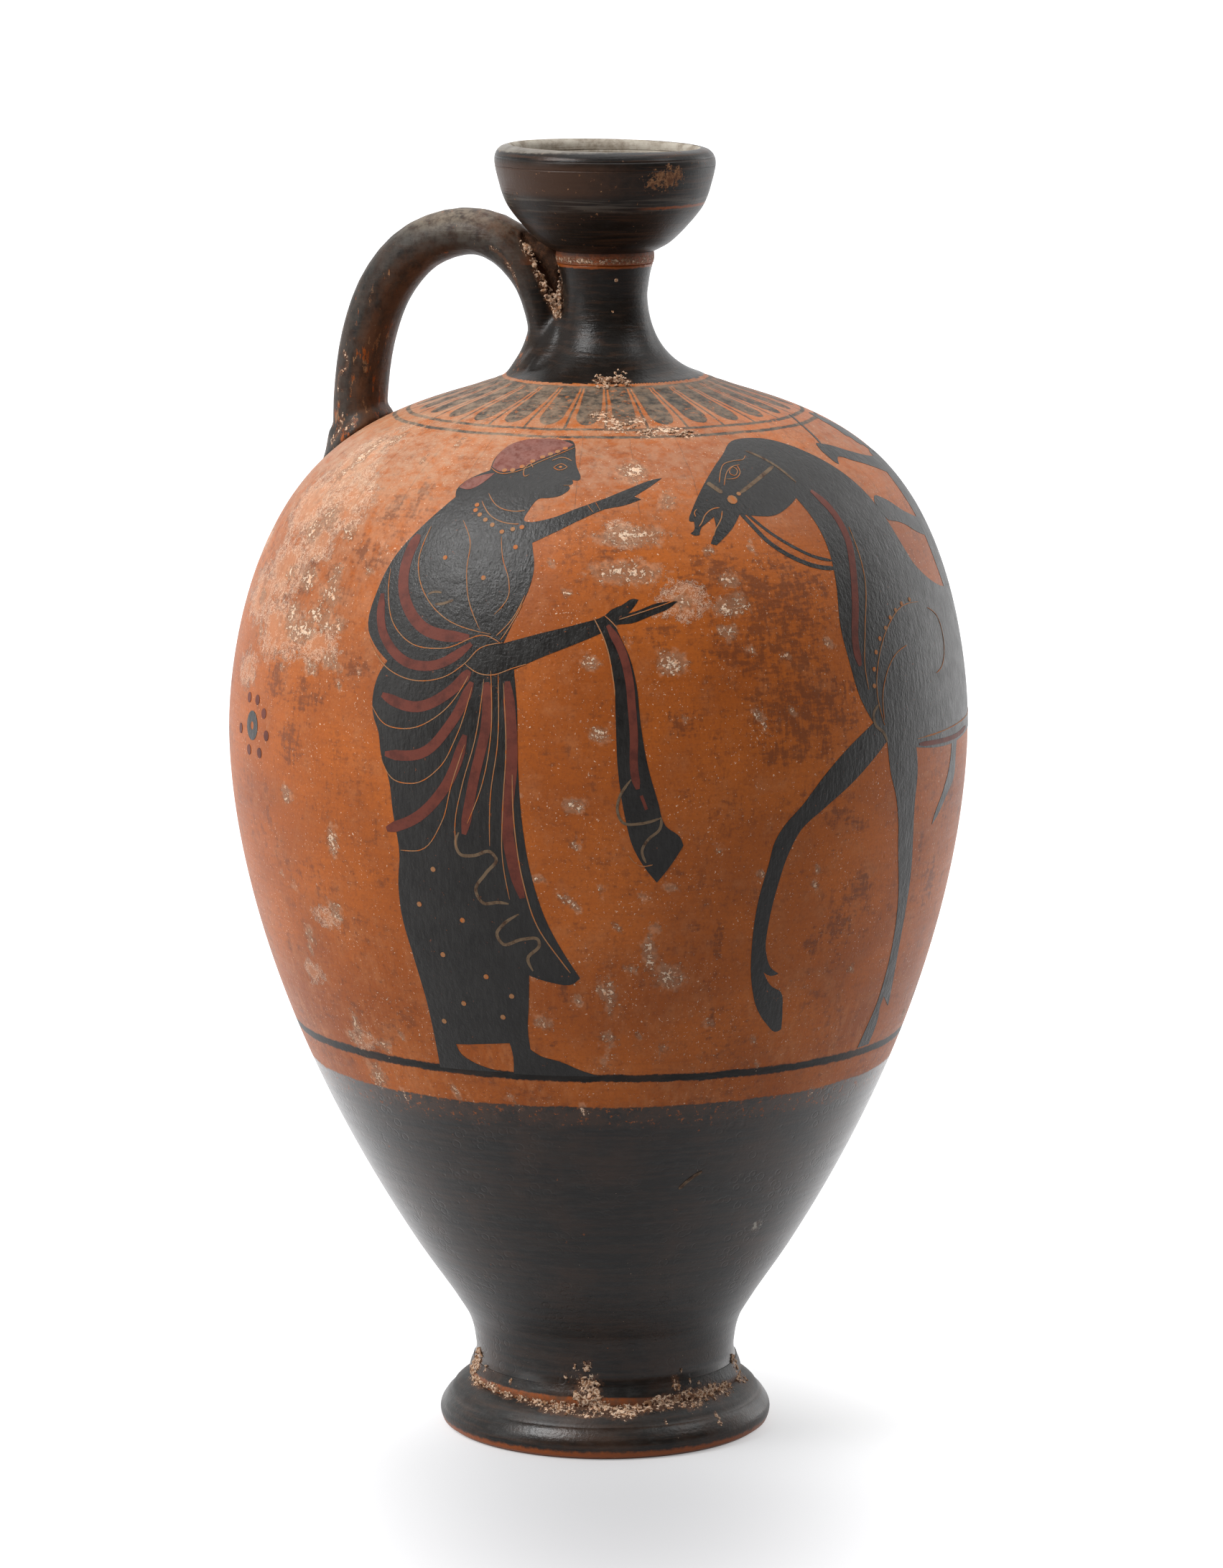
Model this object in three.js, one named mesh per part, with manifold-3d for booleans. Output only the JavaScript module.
// An oval oil jug on a disc foot, with a narrow neck, a cup mouth and one arched handle.
// Millimetres, +Z up. The foot stands on Z 0 around the origin and the handle points along -X.
// Each turned piece has its own heights, counted from its seat, and is stacked on the one below.

import * as THREE from "three";
import { mergeVertices } from "three/addons/utils/BufferGeometryUtils.js";
import Module from "manifold-3d";

const wasm = await Module();
wasm.setup();

// Driving sizes
const sides = 48;
const jointGap = 0.3;
const wall = 4.5;

const stemRadius = 25.4;
const stemStep = 0.9;
const stemRise = 1.6;
const stemFlare = 0.4;
const footHeight = 9;
const footSpread = 6.9;
const footArrisHeight = 5.8;
const footRecess = 4.6;
const footRimWidth = 8;
const filletHeight = 3.6;
const filletBulge = 1.2;

const bodyHeight = 195.2;
const bellyRadius = 71.3;
const bellyLevel = 129;
const flareLevel = 15;
const flareSpread = 2.7;
const lowerWallDraw = 3.7;
const shoulderTurnRadius = 54.8;
const shoulderTurnDrop = 16.1;
const shoulderSlope = THREE.MathUtils.degToRad(46);
const shoulderTopSlope = THREE.MathUtils.degToRad(20);
const bellyPull = 10;
const turnPullDown = 20;
const turnPullUp = 14.8;
const shoulderTopPull = 8.6;
const floorThickness = 7;
const bellyLean = 1.4;

const neckHeight = 22.8;
const neckRadius = 8.1;
const neckBaseRadius = 19;
const neckTopRadius = 9.2;
const neckFilletWidth = 3.1;
const neckFilletHeight = 1.4;
const boreRadius = 5.2;
const neckBedWidth = 5;
const collarHeight = 2.2;
const collarRadius = 9.4;

const mouthHeight = 19.9;
const mouthRadius = 21.05;
const lipHeight = 2.8;
const lipWidth = 3.5;
const mouthTilt = 0.02;

const handleReach = 50.75;
const handleCrest = 27.9;
const handleDraw = 12.6;
const handleThickness = 8.7;
const handleSwell = 1.15;
const handleTaper = 0.82;
const handleBreadth = 12.6;
const rootFlare = 4;
const rootDepth = 5.5;
const lutingRise = 8;

// Levels of the seats above the floor
const neckSeat = footHeight + bodyHeight;
const collarSeat = neckSeat + neckHeight;
const mouthSeat = collarSeat + collarHeight;

// Materials
const blackSlip = new THREE.MeshStandardMaterial({ color: 0x1d1a19, roughness: 0.42, metalness: 0 });
const clay = new THREE.MeshStandardMaterial({ color: 0xb4663a, roughness: 0.7, metalness: 0 });
const crustedClay = new THREE.MeshStandardMaterial({ color: 0x9c6f50, roughness: 0.85, metalness: 0 });

// Profile helpers: every point is a radius and a height above the piece's seat
const point = (radius, height) => new THREE.Vector2(radius, height);

function smooth(points, steps) {
  const spine = points.map((p) => new THREE.Vector3(p.x, p.y, 0));
  const curve = new THREE.CatmullRomCurve3(spine, false, "centripetal");
  return curve.getPoints(steps).map((p) => point(p.x, p.y));
}

// Each point moved square to the outline, to its right for a positive distance.
function offset(points, distance) {
  return points.map((p, i) => {
    const before = points[Math.max(i - 1, 0)];
    const after = points[Math.min(i + 1, points.length - 1)];
    const way = after.clone().sub(before).normalize();
    return point(p.x + way.y * distance, p.y - way.x * distance);
  });
}

// Turns an outline, listed from the axis or the inside upwards along the outside, about Z.
function turned(outline) {
  const lathe = new THREE.LatheGeometry(outline, sides);
  return closed(lathe.rotateX(Math.PI / 2));
}

const ring = (outline) => turned([...outline, outline[0]]);

// Shared corners joined into one, and the empty triangles at the axis left out.
function closed(geometry) {
  const bare = geometry.clone();
  bare.deleteAttribute("normal");
  bare.deleteAttribute("uv");
  const joined = mergeVertices(bare, 1e-4);
  const corners = joined.index.array;
  const kept = [];
  for (let i = 0; i < corners.length; i += 3) {
    const [a, b, c] = corners.slice(i, i + 3);
    if (a !== b && b !== c && c !== a) kept.push(a, b, c);
  }
  joined.setIndex(kept);
  return joined;
}

// Moves every corner of a geometry by a rule.
function reshaped(geometry, rule) {
  const places = geometry.attributes.position;
  const corner = new THREE.Vector3();
  for (let i = 0; i < places.count; i += 1) {
    corner.fromBufferAttribute(places, i);
    rule(corner);
    places.setXYZ(i, corner.x, corner.y, corner.z);
  }
  return geometry;
}

const raised = (geometry, height) => geometry.clone().translate(0, 0, height);

// Solids for cutting and joining
function solidOf(geometry) {
  const surface = closed(geometry);
  return new wasm.Manifold(
    new wasm.Mesh({
      numProp: 3,
      vertProperties: new Float32Array(surface.attributes.position.array),
      triVerts: new Uint32Array(surface.index.array),
    }),
  );
}

function geometryOf(solid) {
  const mesh = solid.getMesh();
  const geometry = new THREE.BufferGeometry();
  geometry.setAttribute("position", new THREE.BufferAttribute(mesh.vertProperties, 3));
  geometry.setIndex(new THREE.BufferAttribute(mesh.triVerts, 1));
  return geometry;
}

// Foot: a disc with a rounded rim, an arris, a sloping top and a hollow underside
const footRadius = stemRadius + footSpread;
const filletRadius = stemRadius + filletBulge;
const restRadius = footRadius - 1.5;
const footGeometry = turned([
  point(0, footRecess),
  point(restRadius - footRimWidth - footRecess, footRecess),
  point(restRadius - footRimWidth, 0),
  point(restRadius, 0),
  ...smooth(
    [
      point(footRadius - 0.5, 0.7),
      point(footRadius, 2.3),
      point(footRadius - 0.3, 0.67 * footArrisHeight),
      point(footRadius - 1.7, footArrisHeight),
    ],
    5,
  ),
  ...smooth(
    [
      point(footRadius - 2, footArrisHeight + 0.2),
      point(0.5 * (footRadius + filletRadius) - 0.4, 0.4 * footArrisHeight + 0.6 * footHeight),
      point(filletRadius + 0.2, footHeight),
    ],
    3,
  ),
  point(0, footHeight),
]);

// Body: the stem, the long lower wall up to the belly, then the shoulder
const stemSeatRadius = stemRadius - stemStep;
const flareRadius = stemRadius + flareSpread;
const shoulderTopRadius = neckBaseRadius + neckFilletWidth + jointGap;
const turnLevel = bodyHeight - shoulderTurnDrop;
const riseToBelly = bellyLevel - flareLevel;
const turnWay = point(Math.cos(shoulderSlope), -Math.sin(shoulderSlope));
const topWay = point(Math.cos(shoulderTopSlope), -Math.sin(shoulderTopSlope));
const shoulderTurn = point(shoulderTurnRadius, turnLevel);
const shoulderTop = point(shoulderTopRadius, bodyHeight);
const onward = (from, way, distance) => from.clone().addScaledVector(way, distance);

const stem = new THREE.QuadraticBezierCurve(
  point(stemRadius, filletHeight + stemRise),
  point(stemRadius, 0.75 * flareLevel),
  point(flareRadius, flareLevel),
);
const lowerWall = new THREE.CubicBezierCurve(
  point(flareRadius, flareLevel),
  point(bellyRadius - lowerWallDraw, flareLevel + 0.488 * riseToBelly),
  point(bellyRadius, bellyLevel - 0.13 * riseToBelly),
  point(bellyRadius, bellyLevel),
);
const upperWall = new THREE.CubicBezierCurve(
  point(bellyRadius, bellyLevel),
  point(bellyRadius, bellyLevel + bellyPull),
  onward(shoulderTurn, turnWay, turnPullDown),
  shoulderTurn,
);
const shoulder = new THREE.CubicBezierCurve(
  shoulderTurn,
  onward(shoulderTurn, turnWay, -turnPullUp),
  onward(shoulderTop, topWay, shoulderTopPull),
  shoulderTop,
);
const bodyOutside = [
  ...stem.getPoints(4),
  ...lowerWall.getPoints(13).slice(1),
  ...upperWall.getPoints(8).slice(1),
  ...shoulder.getPoints(7).slice(1),
];

// Height of the shoulder at a given distance from the axis.
function shoulderLevel(radius) {
  const inner = bodyOutside.findIndex((p) => p.y > bellyLevel && p.x <= radius);
  const [low, high] = [bodyOutside[inner - 1], bodyOutside[inner]];
  return THREE.MathUtils.mapLinear(radius, low.x, high.x, low.y, high.y);
}

const innerShoulderRadius = boreRadius + neckBedWidth;
const bodyInside = offset(bodyOutside, -wall)
  .filter((p, i) => i % 3 === 0 && p.y > floorThickness + 4 && p.y < bodyHeight - wall - 0.5)
  .reverse();
const bodyFoot = [
  point(0, 0),
  point(stemSeatRadius, 0),
  point(stemSeatRadius, filletHeight + jointGap),
  point(stemRadius + 0.9 * stemFlare, filletHeight + jointGap),
];

// The belly hangs a little towards the handle, fading to nothing at both seats.
function leaning(geometry) {
  return reshaped(geometry, (corner) => {
    const level = THREE.MathUtils.clamp(corner.z / bodyHeight, 0, 1);
    corner.x -= bellyLean * Math.sin(Math.PI * level ** 1.5);
  });
}

const bodyGeometry = leaning(
  turned([
    ...bodyFoot,
    ...bodyOutside,
    point(innerShoulderRadius, bodyHeight),
    point(innerShoulderRadius, bodyHeight - wall),
    ...bodyInside,
    point(0.6 * stemSeatRadius, floorThickness + 1),
    point(0, floorThickness),
  ]),
);

const filletGeometry = ring([
  point(stemSeatRadius + jointGap, 0),
  point(filletRadius - 0.2, 0),
  point(filletRadius, 0.35 * filletHeight),
  point(filletRadius - 0.3, 0.72 * filletHeight),
  point(stemRadius + stemFlare, filletHeight),
  point(stemSeatRadius + jointGap, filletHeight),
]);

// Neck: a trumpet that flares onto the shoulder, with its coil and the collar above
const neckWaist = 0.74 * neckHeight;
const neckFlare = new THREE.CubicBezierCurve(
  point(neckBaseRadius, neckFilletHeight),
  point(neckRadius + 1.9, 0.17 * neckHeight),
  point(neckRadius, 0.52 * neckHeight),
  point(neckRadius, neckWaist),
);
const neckOutside = [
  ...neckFlare.getPoints(8),
  ...smooth(
    [
      point(neckRadius, neckWaist),
      point(0.55 * neckRadius + 0.45 * neckTopRadius, 0.9 * neckHeight),
      point(neckTopRadius, neckHeight),
    ],
    4,
  ).slice(1),
];
const neckGeometry = ring([
  point(innerShoulderRadius, 0),
  point(neckBaseRadius, 0),
  ...neckOutside,
  point(boreRadius, neckHeight),
  point(boreRadius, 0.3 * neckHeight),
  point(boreRadius + 1.6, 0.12 * neckHeight),
]);
const neckFilletGeometry = ring([
  point(neckBaseRadius + jointGap, 0),
  point(neckBaseRadius + neckFilletWidth, 0),
  point(neckBaseRadius + 0.5 * neckFilletWidth, 0.64 * neckFilletHeight),
  point(neckBaseRadius + jointGap, neckFilletHeight),
]);
const collarGeometry = ring([
  point(boreRadius, 0),
  point(collarRadius - 0.2, 0),
  point(collarRadius, 0.4 * collarHeight),
  point(collarRadius - 0.1, collarHeight),
  point(boreRadius, collarHeight),
]);

// Mouth: a deep cup whose wall rounds over into the lip, set slightly askew
const lipInside = mouthRadius - lipWidth;
const mouthGeometry = reshaped(
  ring([
    point(boreRadius, 0),
    ...smooth(
      [
        point(collarRadius, 0),
        point(0.58 * mouthRadius, 0.075 * mouthHeight),
        point(0.75 * mouthRadius, 0.25 * mouthHeight),
        point(0.895 * mouthRadius, 0.452 * mouthHeight),
        point(0.962 * mouthRadius, 0.653 * mouthHeight),
        point(mouthRadius, mouthHeight - lipHeight),
        point(mouthRadius - 0.1 * lipWidth, mouthHeight - 0.5 * lipHeight),
        point(mouthRadius - 0.36 * lipWidth, mouthHeight - 0.16 * lipHeight),
        point(mouthRadius - 0.8 * lipWidth, mouthHeight),
      ],
      16,
    ),
    point(lipInside, mouthHeight - 0.2 * lipHeight),
    ...smooth(
      [
        point(lipInside - 0.4, mouthHeight - lipHeight),
        point(0.9 * lipInside, 0.5 * mouthHeight),
        point(0.6 * lipInside, 0.2 * mouthHeight),
        point(boreRadius, 0.08 * mouthHeight),
      ],
      6,
    ),
  ]),
  (corner) => {
    corner.z -= (mouthTilt * corner.x * corner.z) / mouthHeight;
  },
);

// Handle: an oval section drawn along an arch from the shoulder up and over to the neck.
// The path's points are a distance from the axis and a height above the floor.
const rootShoulder = shoulderLevel(handleReach);
const rootLevel = footHeight + rootShoulder - rootDepth;
const crestLevel = neckSeat + handleCrest;
const archRise = crestLevel - rootLevel;
const handlePath = new THREE.CatmullRomCurve3(
  [
    point(handleReach + 0.05 * handleDraw, rootLevel),
    point(handleReach + 0.03 * handleDraw, rootLevel + 0.31 * archRise),
    point(handleReach - 0.125 * handleDraw, rootLevel + 0.565 * archRise),
    point(handleReach - 0.45 * handleDraw, rootLevel + 0.776 * archRise),
    point(handleReach - handleDraw, rootLevel + 0.932 * archRise),
    point(0.555 * handleReach, crestLevel),
    point(0.41 * handleReach, crestLevel - 0.14 * handleDraw),
    point(neckRadius + 0.79 * lutingRise, collarSeat - 0.35 * lutingRise),
    point(neckRadius + 0.43 * lutingRise, neckSeat + 1.5 * lutingRise),
    point(neckRadius + 0.28 * lutingRise, neckSeat + 0.06 * lutingRise),
  ].map((p) => new THREE.Vector3(-p.x, 0, p.y)),
  false,
  "centripetal",
);
const handleSteps = 30;
const pathPlaces = handlePath.getSpacedPoints(handleSteps);

// Thickness along the handle: swollen up to the arch, drawn thinner down to the neck.
function handleGrowth(share) {
  const overArch = THREE.MathUtils.smoothstep(share, 0.42, 0.68);
  const toNeck = THREE.MathUtils.smoothstep(share, 0.72, 1);
  return THREE.MathUtils.lerp(handleSwell, 1, overArch) * THREE.MathUtils.lerp(1, handleTaper, toNeck);
}

// The handle thickened everywhere by a margin.
function handleSolid(margin) {
  const section = new THREE.Shape();
  section.absellipse(0, 0, handleBreadth / 2 + margin, handleThickness / 2 + margin, 0, 2 * Math.PI);
  const tube = new THREE.ExtrudeGeometry(section, {
    extrudePath: handlePath,
    steps: handleSteps,
    curveSegments: 8,
    bevelEnabled: false,
  });
  const swollen = reshaped(tube, (corner) => {
    const distances = pathPlaces.map((place) => place.distanceTo(corner));
    const nearest = distances.indexOf(Math.min(...distances));
    const growth = handleGrowth(nearest / handleSteps);
    corner.x = pathPlaces[nearest].x + (corner.x - pathPlaces[nearest].x) * growth;
    corner.z = pathPlaces[nearest].z + (corner.z - pathPlaces[nearest].z) * growth;
  });
  return solidOf(swollen);
}

// Filled copies of the vessel, larger by the joint gap, that cut the handle and its luting to fit
const grownBody = solidOf(
  raised(
    leaning(turned([point(0, 0), ...offset(bodyOutside, jointGap), point(0, bodyHeight + jointGap)])),
    footHeight,
  ),
);
const grownNeck = solidOf(
  raised(
    turned([
      point(0, 0),
      point(neckBaseRadius + neckFilletWidth + jointGap, 0),
      point(neckBaseRadius + neckFilletWidth + jointGap, jointGap),
      point(neckBaseRadius + 0.5 * neckFilletWidth + jointGap, 0.64 * neckFilletHeight + jointGap),
      point(neckBaseRadius + jointGap, neckFilletHeight + jointGap),
      ...offset(neckOutside, jointGap),
      point(collarRadius + jointGap, neckHeight - jointGap),
      point(collarRadius + jointGap, neckHeight + collarHeight),
      point(0, neckHeight + collarHeight),
    ]),
    neckSeat,
  ),
);
const vessel = grownBody.add(grownNeck);
const handle = handleSolid(0).subtract(vessel);
const grownHandle = handleSolid(jointGap);

// A skirt of clay around one end of the handle, from its flares beyond the handle at rising heights
function skirtOf(radius, flares) {
  const profile = smooth(flares.map((p) => point(radius + p.x, p.y)), 8);
  return turned([point(0, profile[0].y), ...profile, point(0, profile.at(-1).y)]);
}

// Lower luting: it slopes with the shoulder and is wiped away under the arch
const lowerSkirt = skirtOf(handleThickness / 2, [
  point(1.35 * rootFlare, -1.5 * rootFlare),
  point(0.8 * rootFlare, -0.12 * rootFlare),
  point(0.42 * rootFlare, 0.62 * rootFlare),
  point(0.22 * rootFlare, 1.62 * rootFlare),
]);
lowerSkirt.scale(handleSwell, (0.77 * handleBreadth) / handleThickness, 1);
reshaped(lowerSkirt, (corner) => {
  if (corner.x > 0) corner.x *= 0.62;
  corner.z += corner.x * Math.tan(shoulderSlope);
});
lowerSkirt.translate(-handleReach - 0.1 * rootFlare, 0, footHeight + rootShoulder);
const lowerLuting = solidOf(lowerSkirt).subtract(grownHandle).subtract(vessel);

// Upper luting: it widens the handle's foot onto the neck, with a wedge in the cleft between them
const footThickness = handleThickness * handleTaper;
const upperSkirt = skirtOf(footThickness / 2, [
  point(0.62 * lutingRise, 0.12 * lutingRise),
  point(0.38 * lutingRise, 0.45 * lutingRise),
  point(0.2 * lutingRise, 0.78 * lutingRise),
  point(0.1 * lutingRise, 1.15 * lutingRise),
]);
upperSkirt.scale(1, (0.8 * handleBreadth) / footThickness, 1);
upperSkirt.translate(-neckRadius - 0.33 * lutingRise, 0, neckSeat);
const wedgeReach = neckRadius + 0.5 * lutingRise;
const wedge = new THREE.BoxGeometry(wedgeReach, 0.93 * handleBreadth, 0.4 * neckHeight);
wedge.translate(-wedgeReach / 2, 0, neckSeat + 0.27 * neckHeight);
const upperLuting = solidOf(upperSkirt).add(solidOf(wedge)).subtract(grownHandle).subtract(vessel);

// The named pieces
const jug = new THREE.Group();

function place(name, geometry, material, height) {
  const mesh = new THREE.Mesh(geometry, material);
  mesh.name = name;
  mesh.position.z = height;
  mesh.geometry.computeVertexNormals();
  jug.add(mesh);
}

place("foot", footGeometry, blackSlip, 0);
place("foot_fillet", filletGeometry, crustedClay, footHeight);
place("body", bodyGeometry, clay, footHeight);
place("neck_fillet", neckFilletGeometry, clay, neckSeat);
place("neck", neckGeometry, blackSlip, neckSeat);
place("mouth_collar", collarGeometry, crustedClay, collarSeat);
place("mouth", mouthGeometry, blackSlip, mouthSeat);
place("handle", geometryOf(handle), blackSlip, 0);
place("upper_luting", geometryOf(upperLuting), crustedClay, 0);
place("lower_luting", geometryOf(lowerLuting), blackSlip, 0);

export default jug;
